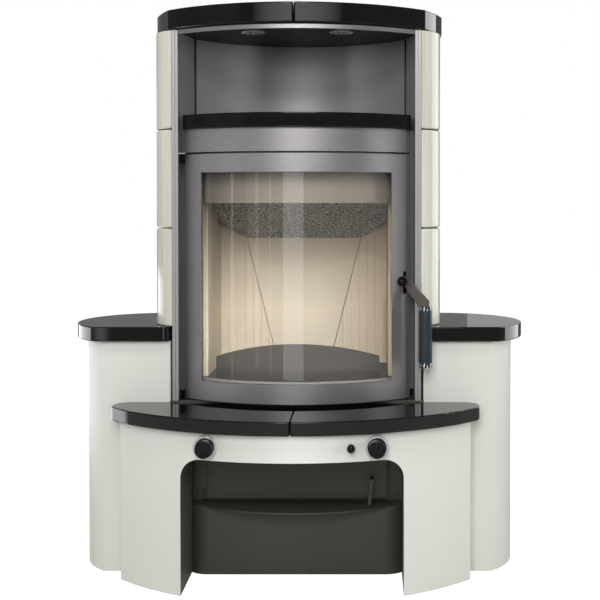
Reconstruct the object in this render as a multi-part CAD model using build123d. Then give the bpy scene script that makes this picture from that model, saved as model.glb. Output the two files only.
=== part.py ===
from build123d import *
import os
from math import asin, cos, degrees, radians, sin, sqrt

# Wood stove with a tiled tower, a warming niche and a stone bench round its foot.
# Millimetres. X to the right, the front faces -Y, Z up, floor at Z = 0.

# ---- heights
LEDGE_BOTTOM = 150.0
LEDGE_TOP = 154.0
APRON_TOP = 355.0
BENCH_TOP = 385.0
DECK_TOP = 389.0
DOOR_BOTTOM = 392.0
WINDOW_BOTTOM = 435.0
WINDOW_TOP = 903.5
DOOR_TOP = 945.0
FASCIA_BOTTOM = 949.0
FASCIA_TOP = 1001.0
NICHE_FLOOR = 1034.0
CEILING_BOTTOM = 1223.0
TOP_BOTTOM = 1226.0
TOP_TOP = 1270.0
WING_TOP = 523.5
SHELF_TOP = 556.5
HEARTH = 437.0
BAFFLE = 835.0

# ---- tower front: every curved sheet shares one upright axis
FRONT_AXIS_Y = 260.0
DOOR_R = 400.0
DOOR_BACK_R = 382.0
DOOR_HALF = 255.5
WINDOW_HALF = 214.0
GLASS_R = 392.0
GLASS_BACK_R = 388.0
REBATE_HALF = 227.0
REBATE_LAP = 11.0
FRAME_R = 372.0
FRAME_BACK_R = 366.0
POST_IN = 267.0
POST_OUT = 280.5
POST_FRONT = -70.0
POST_BACK = -48.0
RAIL_NOSE = -160.0
RAIL_R = 446.0

# ---- tower body
SHEET = 3.0
SIDE_IN = 283.0
BODY_HALF = 286.0
BODY_BACK = 258.0
TILE_HALF = 327.0
TILE_IN = 292.0
TILE_JOINT = 2.5
TILE_CORNER_X = 247.0
TILE_CORNER_Y = 2.0
TILE_CORNER_R = 80.0
NICHE_R = 294.0
NICHE_Y = -86.0
LINER_FRONT = 69.0
LINER_HALF = 250.5
LINER_GAP = 2.0
VENT_X = 100.0
VENT_Y = -45.0
VENT_R = 23.0

# ---- firebox
SHELL_HALF = 233.0
SHELL_BACK = 230.0
LINING_HALF = 206.0
LINING_BACK = 200.0
LINING_FRONT = -20.0
FLUE_Z = 905.0
FLUE_R = 74.0
AIR_Z = 270.0
AIR_R = 49.5
SPIGOT_END = 300.0
SPIGOT_WALL = 2.0
FILTER_TOP_Y = 80.0
FILTER_LOW = 748.0

# ---- bench
BENCH_NOSE = -300.0
BENCH_R = 580.0
BENCH_HALF = 409.0
BENCH_CREASE_X = 358.0
BENCH_FACET_Y = -122.0
BENCH_BACK = -64.0
APRON_NOSE = -280.0
APRON_R = 550.0
APRON_THICK = 22.0
APRON_HALF = 388.0
PORTAL_HALF = 237.0
PORTAL_TOP = 295.0
PORTAL_CORNER = 44.0
PORTAL_WALL = 18.0
WING_X = 333.0
WING_Y = 62.0
WING_R = 165.0
WING_FRONT = -64.0
WING_WALL = 20.0
SHELF_R = 189.0
SHELF_FRONT = -80.0
SEAM = 1.4
SEAM_CORNER = 4.0

# ---- base
PLINTH_HALF = 250.0
PLINTH_FRONT = -87.0
PLINTH_BACK = 228.0
PLINTH_CORNER = 50.0
LEDGE_NOSE = -143.0
LEDGE_R = 400.0
LEDGE_HALF = 203.0
ASH_PLANE = -32.0
ASH_DOOR_HALF = 208.0

# ---- controls
KNOB_X = 180.0
KNOB_Z = 324.0
SHAKER_X = 126.0
SHAKER_Z = 326.0
RUN = 0.05
PIVOT_X = 240.0
PIVOT_R = 403.0
PIVOT_Z = 658.0
ARM_T = 7.0
GRIP_OUT = 71.0
GRIP_R = 15.0
HINGE_X = -259.7
HINGE_Y = -58.0
ASH_HINGE_X = -212.0
ASH_HINGE_Y = -39.0
ASH_HALF = 196.0
LEVER_X = 169.0
LEVER_Z = 208.0

BIG = 2000.0
NODES = {}


def block(x0, x1, y0, y1, z0, z1):
    """Box between three pairs of planes."""
    centre = Pos((x0 + x1) / 2, (y0 + y1) / 2, (z0 + z1) / 2)
    return centre * Box(x1 - x0, y1 - y0, z1 - z0)


def upright(radius, x, y, z0, z1):
    """Cylinder that stands along Z."""
    return Pos(x, y, (z0 + z1) / 2) * Cylinder(radius, z1 - z0)


def lying(radius, x, z, y0, y1):
    """Cylinder that lies along Y."""
    return Pos(x, (y0 + y1) / 2, z) * Rot(90, 0, 0) * Cylinder(radius, y1 - y0)


def raised(outline, z0, z1):
    """Closed plan outline of edges, raised from z0 to z1."""
    return Pos(0, 0, z0) * extrude(make_face(outline), amount=z1 - z0, dir=(0, 0, 1))


def front_y(radius, x, axis_y=FRONT_AXIS_Y):
    """Y of the front of an upright cylinder at a distance x from the middle."""
    return axis_y - sqrt(radius ** 2 - x ** 2)


def curved_sheet(outer, inner, x0, x1, z0, z1, axis_y=FRONT_AXIS_Y):
    """Upright sheet between two radii, with flat ends at x0 and x1."""
    middle = (x0 + x1) / 2
    out = [(x, front_y(outer, x, axis_y)) for x in (x0, middle, x1)]
    back = [(x, front_y(inner, x, axis_y)) for x in (x1, middle, x0)]
    outline = [
        ThreePointArc(*out),
        Line(out[2], back[0]),
        ThreePointArc(*back),
        Line(back[2], out[0]),
    ]
    return raised(outline, z0, z1)


def inside_front(radius, z0, z1):
    """Round bar on the axis of the tower front, used to trim what lies behind a sheet."""
    return upright(radius, 0, FRONT_AXIS_Y, z0, z1)


def mirrored(solid):
    return mirror(solid, about=Plane.YZ)


def both(solid):
    """The right-hand solid and its left-hand twin."""
    return [solid, mirrored(solid)]


def soften(solid, radius):
    """Round the rims of the top and bottom faces of a slab."""
    rims = solid.edges().group_by(Axis.Z)
    return fillet(rims[0] + rims[-1], radius)


def keep(name, *solids):
    pieces = [piece for solid in solids for piece in solid.solids()]
    NODES[name] = pieces[0] if len(pieces) == 1 else Compound(pieces)


# ---- base -----------------------------------------------------------------

def base_plan(inset=0.0):
    """Plinth outline seen from above: round corners in front, nearly square behind."""
    half = PLINTH_HALF - inset
    front = PLINTH_FRONT + inset
    back = PLINTH_BACK - inset
    round_front = PLINTH_CORNER - inset
    plan = Pos(0, (front + back) / 2) * Rectangle(2 * half, back - front)
    return fillet(plan.vertices().group_by(Axis.Y)[0], round_front)


def slab_of(plan, z0, z1):
    return Pos(0, 0, z0) * extrude(plan, amount=z1 - z0, dir=(0, 0, 1))


def plinth():
    """Folded steel skirt with an inward flange that rests on the floor."""
    skirt = slab_of(base_plan(), 0, LEDGE_BOTTOM) - slab_of(base_plan(SHEET), 0, LEDGE_BOTTOM)
    flange = slab_of(base_plan(SHEET), 0, SHEET) - slab_of(base_plan(30), 0, SHEET)
    return skirt + flange


def levelling_feet():
    feet = []
    for x in (-190, 190):
        for y in (-10, 170):
            pad = upright(20, x, y, 0, 12)
            stud = upright(5, x, y, 12, LEDGE_BOTTOM)
            nut = Pos(x, y, LEDGE_BOTTOM - 12) * extrude(RegularPolygon(9, 6), amount=8)
            feet.append(pad + stud + nut)
    return feet


def bottom_plate():
    """Thin plate on the plinth whose nose swells forward in a shallow arc."""
    axis_y = LEDGE_NOSE + LEDGE_R
    nose = curved_sheet(LEDGE_R, LEDGE_R - 80, -LEDGE_HALF, LEDGE_HALF, LEDGE_BOTTOM, LEDGE_TOP, axis_y)
    nose -= block(-BIG, BIG, -60, BIG, 0, BIG)
    return slab_of(base_plan(), LEDGE_BOTTOM, LEDGE_TOP) + nose


def lower_body():
    """Folded steel case round the ash pan, open in front, with the air intake behind."""
    half = PLINTH_HALF
    back = PLINTH_BACK
    case = block(-half, half, ASH_PLANE + SHEET, back, LEDGE_TOP, BENCH_TOP)
    case -= block(SHEET - half, half - SHEET, -BIG, back - SHEET, 0, BIG)
    return case - lying(AIR_R - SPIGOT_WALL, 0, AIR_Z, 0, BIG)


def ash_front_frame():
    """Plate behind the ash door, with the air ports and a shelf that carries the bench slab."""
    frame = block(-PLINTH_HALF, PLINTH_HALF, ASH_PLANE, ASH_PLANE + SHEET, LEDGE_TOP, BENCH_TOP)
    opening = block(-ASH_HALF, ASH_HALF, -BIG, BIG, 168, 277)
    opening = fillet(opening.edges().filter_by(Axis.Y), 12)
    frame -= opening
    frame -= lying(4 + RUN, SHAKER_X, SHAKER_Z, -BIG, BIG)
    for side in (-1, 1):
        frame -= lying(5 + RUN, side * KNOB_X, KNOB_Z, -BIG, BIG)
        for port in air_ports(side):
            frame -= port
    shelf = block(-100, 100, ASH_PLANE - 80, ASH_PLANE, APRON_TOP - SHEET, APRON_TOP)
    return frame + shelf


def air_ports(side):
    """Three round ports about a knob axis, used in the frame and in the turning shutter."""
    ports = []
    for turn in (90, 180, 270):
        x = side * KNOB_X + 18 * cos(radians(turn))
        z = KNOB_Z + 18 * sin(radians(turn))
        ports.append(lying(6, x, z, -BIG, BIG))
    return ports


def ash_pan():
    """Folded tray under the chute with a bent lip to pull it out."""
    tray = block(-150, 150, -20, 190, LEDGE_TOP, 245)
    tray -= block(-148, 148, -18, 188, LEDGE_TOP + 2, BIG)
    lip = block(-60, 60, -27, -20, 238, 240) + block(-60, 60, -27, -25, 228, 240)
    return tray + lip


def hearth_plan_bar(z0, z1, back):
    """Plan of the firebox floor, bounded in front by the back of the curved front frame."""
    bar = block(-SHELL_HALF + SHEET, SHELL_HALF - SHEET, -BIG / 4, back, z0, z1)
    return bar & inside_front(FRAME_BACK_R, z0, z1)


def deck_plate():
    """Steel deck on which the tower stands; it also holds down the bench slab."""
    deck = block(-BODY_HALF, BODY_HALF, POST_FRONT, BODY_BACK - SHEET, BENCH_TOP, DECK_TOP)
    nose = inside_front(FRAME_R, BENCH_TOP, DECK_TOP)
    nose &= block(-POST_IN, POST_IN, -BIG / 2, 0, BENCH_TOP, DECK_TOP)
    return deck + nose - block(-112, 112, 8, 162, 0, BIG)


def spigot(radius, z, start, flange_r, free_from):
    """Round duct stub with a flange; its free end beyond the back is a little wider."""
    tube = lying(radius, 0, z, free_from, SPIGOT_END)
    neck = lying(radius - 1, 0, z, start, free_from)
    flange = lying(flange_r, 0, z, start, start + SHEET)
    return tube + neck + flange - lying(radius - SPIGOT_WALL, 0, z, -BIG, BIG)


keep("plinth", plinth())
keep("levelling_feet", *levelling_feet())
keep("bottom_plate", bottom_plate())
keep("lower_body", lower_body())
keep("ash_front_frame", ash_front_frame())
keep("ash_pan", ash_pan())
keep("deck_plate", deck_plate())
keep("fresh_air_spigot", spigot(AIR_R, AIR_Z, PLINTH_BACK, 62, PLINTH_BACK + SHEET))
keep("flue_spigot", spigot(FLUE_R, FLUE_Z, SHELL_BACK, 86, BODY_BACK))


# ---- bench ----------------------------------------------------------------

def bench_half():
    """Right half of the granite bench slab: a bow, a facet and a round outer end."""
    axis_y = BENCH_NOSE + BENCH_R
    start = (SEAM / 2, front_y(BENCH_R, SEAM / 2, axis_y))
    middle = (BENCH_CREASE_X / 2, front_y(BENCH_R, BENCH_CREASE_X / 2, axis_y))
    crease = (BENCH_CREASE_X, front_y(BENCH_R, BENCH_CREASE_X, axis_y))
    facet = (BENCH_HALF, BENCH_FACET_Y)
    outline = [
        ThreePointArc(start, middle, crease),
        Polyline(crease, facet, (BENCH_HALF, BENCH_BACK), (SEAM / 2, BENCH_BACK), start),
    ]
    slab = raised(outline, APRON_TOP, BENCH_TOP)
    slab = fillet(end_corners(slab)[0], 30)
    slab = fillet(end_corners(slab)[-1], 36)
    return soften(round_seam(slab), 2.5)


def round_seam(slab):
    """Rounds the front upright edge at the middle seam of a half slab."""
    uprights = slab.edges().filter_by(Axis.Z).filter_by_position(Axis.X, 0, SEAM)
    return fillet([uprights.sort_by(Axis.Y)[0]], SEAM_CORNER)


def end_corners(slab):
    """Upright edges at the outer end of the bench slab, from front to back."""
    uprights = slab.edges().filter_by(Axis.Z)
    return uprights.filter_by_position(Axis.X, BENCH_HALF - 1, BENCH_HALF + 1).sort_by(Axis.Y)


def portal_bar(half, top, corner, y0, y1):
    """Round-shouldered bar that stands on the floor and runs along Y."""
    bar = block(-half, half, y0, y1, 0, top)
    shoulders = bar.edges().filter_by(Axis.Y).group_by(Axis.Z)[-1]
    return fillet(shoulders, corner)


def bench_apron():
    """White bow-fronted apron with a portal and its inner return walls."""
    axis_y = APRON_NOSE + APRON_R
    inner_r = APRON_R - APRON_THICK
    front = curved_sheet(APRON_R, inner_r, -APRON_HALF, APRON_HALF, 0, APRON_TOP, axis_y)
    corner_y = front_y(APRON_R, APRON_HALF, axis_y)
    returns = block(APRON_HALF - APRON_THICK, APRON_HALF, corner_y, BENCH_BACK, 0, APRON_TOP)
    tunnel = portal_bar(
        PORTAL_HALF + PORTAL_WALL, PORTAL_TOP + PORTAL_WALL, PORTAL_CORNER + PORTAL_WALL, -290, -73)
    tunnel &= upright(APRON_R, 0, axis_y, 0, APRON_TOP)
    apron = front + returns + mirrored(returns) + tunnel
    apron -= portal_bar(PORTAL_HALF, PORTAL_TOP, PORTAL_CORNER, -BIG, 0)
    for side in (-1, 1):
        apron -= lying(21, side * KNOB_X, KNOB_Z, -BIG, -200)
    return apron - lying(4 + RUN, SHAKER_X, SHAKER_Z, -BIG, -200)


def half_round(radius, front, inner_x, z0, z1, reach=0.0):
    """Right-hand disc cut by a straight chord in front and by the tower at its inner side."""
    disc = upright(radius, WING_X, WING_Y, z0, z1)
    return disc & block(inner_x - reach, BIG / 2, front, BIG / 2, z0, z1)


def side_wing():
    """Half-round white shell beside the tower, flat in front."""
    outer = half_round(WING_R, WING_FRONT, BODY_HALF, 0, WING_TOP)
    inner_front = WING_FRONT + WING_WALL
    return outer - half_round(WING_R - WING_WALL, inner_front, BODY_HALF, -1, BIG / 2, 20)


def side_shelf():
    """Half-round granite shelf on the wing; the tiles of the tower stand on its inner edge."""
    shelf = half_round(SHELF_R, SHELF_FRONT, BODY_HALF, WING_TOP, SHELF_TOP)
    uprights = shelf.edges().filter_by(Axis.Z)
    front_corner = uprights.group_by(Axis.Y)[0].sort_by(Axis.X)[0]
    shelf = fillet([front_corner], 14)
    return soften(shelf, 2.5)


keep("bench_apron", bench_apron())
keep("bench_top_right", bench_half())
keep("bench_top_left", mirrored(bench_half()))
keep("side_wing_right", side_wing())
keep("side_wing_left", mirrored(side_wing()))
keep("side_shelf_right", side_shelf())
keep("side_shelf_left", mirrored(side_shelf()))


# ---- tower ----------------------------------------------------------------

def tile_outline():
    """Right-hand tile seen from above: flat beside the tower, bowed round to the front post."""
    lip_x = POST_OUT + 0.5
    front = (lip_x, front_y(TILE_CORNER_R, lip_x - TILE_CORNER_X, TILE_CORNER_Y))
    bow = TILE_CORNER_R * cos(radians(32)), TILE_CORNER_R * sin(radians(32))
    middle = (TILE_CORNER_X + bow[0], TILE_CORNER_Y - bow[1])
    side = (TILE_HALF, TILE_CORNER_Y)
    lip_back = LINING_FRONT - 6
    return [
        ThreePointArc(front, middle, side),
        Polyline(
            side, (TILE_HALF, BODY_BACK), (TILE_IN, BODY_BACK), (TILE_IN, lip_back),
            (lip_x, lip_back), front),
    ]


def tower_tiles():
    """Three glazed tiles of one side, stacked with thin joints, their edges rounded."""
    pitch = (TOP_BOTTOM - SHELF_TOP) / 3
    tiles = []
    for row in range(3):
        low = SHELF_TOP + row * pitch
        tile = raised(tile_outline(), low, low + pitch - TILE_JOINT)
        tiles.append(soften(tile, 4))
    return tiles


def body_side():
    """Right side panel of the tower with two rails that carry the tiles."""
    panel = block(SIDE_IN, BODY_HALF, LINING_FRONT, BODY_BACK - SHEET, DECK_TOP, CEILING_BOTTOM)
    for y in (20, 200):
        panel += block(BODY_HALF, TILE_IN, y, y + 20, SHELF_TOP, CEILING_BOTTOM)
    return panel


def body_back():
    """Back panel with the flue hole and rows of cooling slots."""
    panel = block(-BODY_HALF, BODY_HALF, BODY_BACK - SHEET, BODY_BACK, DECK_TOP, CEILING_BOTTOM)
    panel -= lying(FLUE_R + 4, 0, FLUE_Z, 0, BIG)
    for x in (-170, 0, 170):
        for z in (460, 500, 540, 1120, 1160):
            slot = block(x - 60, x + 60, 200, 300, z - 4, z + 4)
            panel -= fillet(slot.edges().filter_by(Axis.Y), 3.9)
    return panel


def front_post():
    """Right folded post with a fine groove, and the slanted wall behind it."""
    post = block(POST_IN, POST_OUT, POST_FRONT, POST_BACK, DECK_TOP, CEILING_BOTTOM)
    post -= block(POST_IN + 3, POST_OUT - 3, POST_FRONT + 5, POST_BACK - 3, 0, BIG)
    post -= block(272.5, 274, POST_FRONT - 1, POST_FRONT + 2, 0, BIG)
    return post + return_wall(SHEET)


def return_wall(thick):
    """Slanted wall from the back of the right post to the front end of the niche liner."""
    outline = Polyline(
        (POST_OUT - 4, POST_BACK), (POST_OUT - 4 + thick, POST_BACK),
        (LINER_HALF + thick, LINER_FRONT), (LINER_HALF, LINER_FRONT), close=True)
    return raised([outline], DECK_TOP, CEILING_BOTTOM)


def top_plate_half():
    """Right half of the granite cover, bowed in front with a facet round each corner."""
    radius = 436.0
    nose = -170.0
    half = 333.0
    crease_x = 290.0
    side_y = 40.0
    axis_y = nose + radius
    back = BODY_BACK + 4
    start = (SEAM / 2, front_y(radius, SEAM / 2, axis_y))
    middle = (crease_x / 2, front_y(radius, crease_x / 2, axis_y))
    crease = (crease_x, front_y(radius, crease_x, axis_y))
    outline = [
        ThreePointArc(start, middle, crease),
        ThreePointArc(crease, (314.3, -11), (half, side_y)),
        Polyline((half, side_y), (half, back), (SEAM / 2, back), start),
    ]
    return soften(round_seam(raised(outline, TOP_BOTTOM, TOP_TOP)), 2.5)


def niche_frame():
    """Bowed rail over the niche, between the posts."""
    low = CEILING_BOTTOM - 9
    axis_y = RAIL_NOSE + RAIL_R
    return curved_sheet(RAIL_R, RAIL_R - 6, -POST_IN, POST_IN, low, CEILING_BOTTOM, axis_y)


def niche_liner():
    """Upright bowed sheet that lines the back of the warming niche."""
    liner = upright(NICHE_R + 2, 0, NICHE_Y, NICHE_FLOOR, CEILING_BOTTOM)
    liner -= upright(NICHE_R, 0, NICHE_Y, NICHE_FLOOR, CEILING_BOTTOM)
    return liner - block(-BIG, BIG, -BIG, LINER_FRONT + LINER_GAP, 0, BIG)


def niche_ceiling():
    """Steel plate over niche and posts, with two round vent holes."""
    plate = block(-POST_OUT, POST_OUT, POST_FRONT, BODY_BACK, CEILING_BOTTOM, TOP_BOTTOM)
    nose = upright(RAIL_R, 0, RAIL_NOSE + RAIL_R, CEILING_BOTTOM, TOP_BOTTOM)
    plate += nose & block(-POST_IN, POST_IN, -BIG / 2, 0, CEILING_BOTTOM, TOP_BOTTOM)
    for side in (-1, 1):
        plate -= upright(VENT_R, side * VENT_X, VENT_Y, 0, BIG)
    return plate


def vent_ring():
    """Turned ring pushed into the niche ceiling from below."""
    ring = upright(VENT_R + 4, VENT_X, VENT_Y, CEILING_BOTTOM - 2, CEILING_BOTTOM)
    ring += upright(VENT_R, VENT_X, VENT_Y, CEILING_BOTTOM, TOP_BOTTOM)
    return ring - upright(VENT_R - 3, VENT_X, VENT_Y, 0, BIG)


def niche_shelf():
    """Granite floor of the niche; its bowed nose stands a little proud of the fascia."""
    step_y = -30.0
    nose = curved_sheet(410, 300, -258, 258, FASCIA_TOP, NICHE_FLOOR)
    nose -= block(-BIG, BIG, step_y, BIG, 0, BIG)
    reach = LINER_HALF - 1.5
    floor = upright(NICHE_R + 7, 0, NICHE_Y, FASCIA_TOP, NICHE_FLOOR)
    floor &= block(-reach, reach, 2 * step_y, BIG / 2, FASCIA_TOP, NICHE_FLOOR)
    ends = nose.edges().filter_by(Axis.Z).group_by(Axis.Y)[0]
    shelf = fillet(ends, 5) + floor
    rims = shelf.edges().group_by(Axis.Z)
    front = [edge for edge in rims[0] + rims[-1] if edge.center().Y < step_y - 1]
    return fillet(front, 2.5)


def fascia_panel():
    """Bowed cover over the door, folded back at its upper and lower edges."""
    fascia = curved_sheet(DOOR_R, 396, -DOOR_HALF, DOOR_HALF, FASCIA_BOTTOM, FASCIA_TOP)
    for z in (FASCIA_BOTTOM, FASCIA_TOP - SHEET):
        fascia += curved_sheet(396, FRAME_R, -DOOR_HALF, DOOR_HALF, z, z + SHEET)
    return fascia


for name, solids in (("right", tower_tiles()), ("left", [mirrored(t) for t in tower_tiles()])):
    keep("tiles_" + name, *solids)
keep("body_sides", *both(body_side()))
keep("body_back", body_back())
keep("front_posts", *both(front_post()))
keep("top_plate_right", top_plate_half())
keep("top_plate_left", mirrored(top_plate_half()))
keep("niche_frame", niche_frame())
keep("niche_liner", niche_liner())
keep("niche_ceiling", niche_ceiling())
keep("niche_vent_rings", *both(vent_ring()))
keep("niche_shelf", niche_shelf())
keep("fascia_panel", fascia_panel())


# ---- firebox --------------------------------------------------------------

def firebox_shell():
    """Steel firebox behind the front frame, open in front, with flue and ash holes."""
    low = DECK_TOP
    high = FASCIA_TOP - SHEET
    shell = block(-SHELL_HALF, SHELL_HALF, -BIG / 4, SHELL_BACK, low, high)
    shell &= inside_front(FRAME_BACK_R, low, high)
    inner = SHELL_HALF - SHEET
    shell -= block(-inner, inner, -BIG, SHELL_BACK - SHEET, low + SHEET, high - SHEET)
    shell -= lying(FLUE_R - SPIGOT_WALL, 0, FLUE_Z, 0, BIG)
    shell -= block(-108, 108, 12, 158, 0, low + SHEET)
    return shell - latch_room()


def front_frame():
    """Fixed bowed frame against which the door seals, with the slot for the latch hook."""
    frame = curved_sheet(FRAME_R, FRAME_BACK_R, -POST_OUT, POST_OUT, DECK_TOP, FASCIA_TOP)
    for wall in both(return_wall(60)):
        frame -= wall
    frame -= block(-WINDOW_HALF - 1, WINDOW_HALF + 1, -BIG, 0, HEARTH, WINDOW_TOP + 1.5)
    return frame - at_handle(-50, -20, 13, 23, -38, 26)


def latch_keeper():
    """Wear block in the upper end of the latch slot; the hook catches behind it."""
    return at_handle(-37, -31, 13.5, 22.5, 10, 26)


def handle_place():
    """Place on the pivot, turned so that -Y points straight out of the door there."""
    turn = degrees(asin(PIVOT_X / PIVOT_R))
    return Pos(PIVOT_X, front_y(PIVOT_R, PIVOT_X), PIVOT_Z) * Rot(0, 0, turn)


def at_handle(n0, n1, t0, t1, z0, z1):
    """Box in the handle's own directions: outward from the door, along it, and up."""
    return handle_place() * block(t0, t1, -n1, -n0, z0, z1)


def latch_room():
    """Room in the shell and the right lining panel for the hook behind the front frame."""
    return block(213, 240, -32, 2, 614, 690)


def ash_chute():
    """Square steel throat from the grate towards the ash pan."""
    chute = block(-110, 110, 10, 160, 345, DECK_TOP)
    return chute - block(-108, 108, 12, 158, 0, BIG)


def air_deflector():
    """Grey bent plate behind the top of the glass, with the deck that leads to the filter."""
    reach = WINDOW_HALF
    plate = curved_sheet(358, 355, -reach, reach, BAFFLE, 930)
    plate += curved_sheet(FRAME_BACK_R, 358, -reach, reach, 927, 930)
    deck = block(-SHELL_HALF + 5, SHELL_HALF - 5, -BIG / 4, FILTER_TOP_Y, BAFFLE, BAFFLE + 4)
    return plate + (deck & inside_front(355.5, BAFFLE, BAFFLE + 4))


def ceramic_filter():
    """Speckled foam slab that slopes down to the back wall, its lower corners stepped."""
    half = [
        (LINING_HALF, BAFFLE), (LINING_HALF, 803), (197, 786), (184, 780),
        (166, 762), (146, 752), (142, 740)]
    right = [Vector(x, 0, z) for x, z in half]
    left = [Vector(-x, 0, z) for x, z in reversed(half)]
    front = make_face([Polyline(*right, *left, close=True)])
    body = extrude(front, amount=LINING_BACK, dir=(0, 1, 0))
    profile = Polyline(
        (0, FILTER_TOP_Y, BAFFLE), (0, LINING_BACK, FILTER_LOW),
        (0, LINING_BACK, FILTER_LOW + 30), (0, FILTER_TOP_Y + 36, BAFFLE), close=True)
    slab = extrude(make_face([profile]), amount=BIG, both=True, dir=(1, 0, 0))
    return body & slab


def panel_joint_x(z):
    """Half-width of the middle back panel, which widens steadily with height."""
    return 74 + (142 - 74) * (z - 478) / (750 - 478)


def lining_back_centre():
    """Cream back panel between slanted joints."""
    low = panel_joint_x(HEARTH)
    high = panel_joint_x(BAFFLE)
    outline = Polyline(
        (-low, 0, HEARTH), (low, 0, HEARTH), (high, 0, BAFFLE), (-high, 0, BAFFLE), close=True)
    face = Pos(0, LINING_BACK, 0) * make_face([outline])
    return extrude(face, amount=27, dir=(0, 1, 0))


def lining_back_side():
    """Right back panel beside the slanted joint, with shallow upright flutes."""
    gap = 1.7
    low = panel_joint_x(HEARTH) + gap
    high = panel_joint_x(BAFFLE) + gap
    edge = SHELL_HALF - SHEET
    outline = Polyline(
        (low, 0, HEARTH), (edge, 0, HEARTH), (edge, 0, BAFFLE), (high, 0, BAFFLE), close=True)
    face = Pos(0, LINING_BACK, 0) * make_face([outline])
    panel = extrude(face, amount=27, dir=(0, 1, 0))
    for x in range(82, 200, 20):
        panel -= upright(9, x, LINING_BACK - 7, HEARTH - 1, BAFFLE + 1)
    return panel


def lining_side():
    """Right side panel of the lining."""
    return block(LINING_HALF, SHELL_HALF - SHEET, LINING_FRONT, LINING_BACK, HEARTH, BAFFLE)


def lining_floor():
    """Firebrick floor under the cast plate, with the grate opening."""
    floor = hearth_plan_bar(DECK_TOP + SHEET, HEARTH - 12, SHELL_BACK - SHEET)
    return floor - block(-84, 84, 16, 154, 0, BIG)


def hearth_casting():
    """Cast plate on the floor with raised stops for the log guard."""
    plate = hearth_plan_bar(HEARTH - 12, HEARTH, SHELL_BACK - SHEET)
    plate -= block(-90, 90, 10, 160, 0, BIG)
    for x in (-60, 40):
        plate += curved_sheet(362, 353, x, x + 20, HEARTH, HEARTH + 5)
    return plate


def grate_fixed():
    """Cast grate set flush in the plate."""
    grate = block(-89.5, 89.5, 10.5, 159.5, HEARTH - 12, HEARTH)
    for row in range(6):
        y = 30 + 22 * row
        grate -= block(-72, 72, y - 5.5, y + 5.5, 0, BIG)
    return grate


def grate_moving():
    """Slotted slide under the grate; pulling the rod opens and shakes it."""
    slide = block(-76, 76, 46, 146, HEARTH - 21, HEARTH - 13)
    for row in range(4):
        y = 62 + 22 * row
        slide -= block(-64, 64, y - 5.5, y + 5.5, 0, BIG)
    return slide


def log_guard():
    """Cast bowed guard with an arched top edge."""
    half = 186.0
    rise = 34.0
    end_z = 484.0
    guard = curved_sheet(350, 338, -half, half, HEARTH, end_z + rise + 5)
    arch_r = (half ** 2 + rise ** 2) / (2 * rise)
    arch = lying(arch_r, 0, end_z + rise - arch_r, -BIG / 4, 0)
    return guard & arch


keep("firebox_shell", firebox_shell())
keep("front_frame", front_frame())
keep("latch_keeper", latch_keeper())
keep("ash_chute", ash_chute())
keep("air_deflector", air_deflector())
keep("ceramic_filter", ceramic_filter())
keep("lining_back_centre", lining_back_centre())
keep("lining_back_sides", *both(lining_back_side()))
keep("lining_sides", lining_side() - latch_room(), mirrored(lining_side()))
keep("lining_floor", lining_floor())
keep("hearth_casting", hearth_casting())
keep("grate_fixed", grate_fixed())
keep("log_guard", log_guard())


# ---- door -----------------------------------------------------------------

def ring_sheet(outer, inner, half, low, high, hole_half, hole_low, hole_high):
    """Bowed sheet with a square-cornered opening."""
    ring = curved_sheet(outer, inner, -half, half, low, high)
    return ring - block(-hole_half, hole_half, -BIG, 0, hole_low, hole_high)


def door_frame():
    """Bowed steel door frame with hinge knuckles at the left and the handle slot at the right."""
    frame = ring_sheet(
        DOOR_R, DOOR_BACK_R, DOOR_HALF, DOOR_BOTTOM, DOOR_TOP,
        WINDOW_HALF, WINDOW_BOTTOM, WINDOW_TOP)
    rebate = block(
        -REBATE_HALF, REBATE_HALF, -BIG, 0,
        WINDOW_BOTTOM - REBATE_LAP, WINDOW_TOP + REBATE_LAP)
    frame -= rebate & inside_front(GLASS_R, 0, BIG / 2)
    for low, high in ((DOOR_BOTTOM, 412), (925, DOOR_TOP)):
        frame += upright(4.3, HINGE_X, HINGE_Y, low, high)
        frame += block(HINGE_X + 1, -DOOR_HALF, HINGE_Y, -38, low, high)
        frame -= upright(3 + RUN, HINGE_X, HINGE_Y, low, high)
    frame -= at_handle(-24, 2, 4, 10, -27, 21)
    return frame - at_handle(-24, -13, 4, 22, -36, 12)


def door_glass():
    """Bowed ceramic glass laid into the frame from behind."""
    half = REBATE_HALF - 1
    lap = REBATE_LAP - 1
    return curved_sheet(
        GLASS_R, GLASS_BACK_R, -half, half, WINDOW_BOTTOM - lap, WINDOW_TOP + lap)


def glass_retainer():
    """Bowed ring that holds the glass from behind."""
    return ring_sheet(
        GLASS_BACK_R, DOOR_BACK_R, REBATE_HALF, WINDOW_BOTTOM - REBATE_LAP, WINDOW_TOP + REBATE_LAP,
        WINDOW_HALF + 2, WINDOW_BOTTOM - 4, WINDOW_TOP + 4)


def door_seal():
    """Woven rope seal between door and front frame."""
    return ring_sheet(
        DOOR_BACK_R, FRAME_R + 0.4, REBATE_HALF - 4.5, WINDOW_BOTTOM - 13, WINDOW_TOP + 13,
        WINDOW_HALF + 3, WINDOW_BOTTOM - 4.5, WINDOW_TOP + 4.5)


def retainer_screws():
    """Screw heads on the frame just outside the glass, four above and four below."""
    heads = []
    for x in (-160, -55, 55, 160):
        for z in (WINDOW_BOTTOM - 28, WINDOW_TOP + 22):
            turn = degrees(asin(x / DOOR_BACK_R))
            head = Pos(0, 1.2, 0) * Rot(90, 0, 0) * Cylinder(4.5, 2.4)
            place = Pos(x, front_y(DOOR_BACK_R - 0.05, x), z) * Rot(0, 0, turn)
            heads.append(place * head)
    return heads


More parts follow.
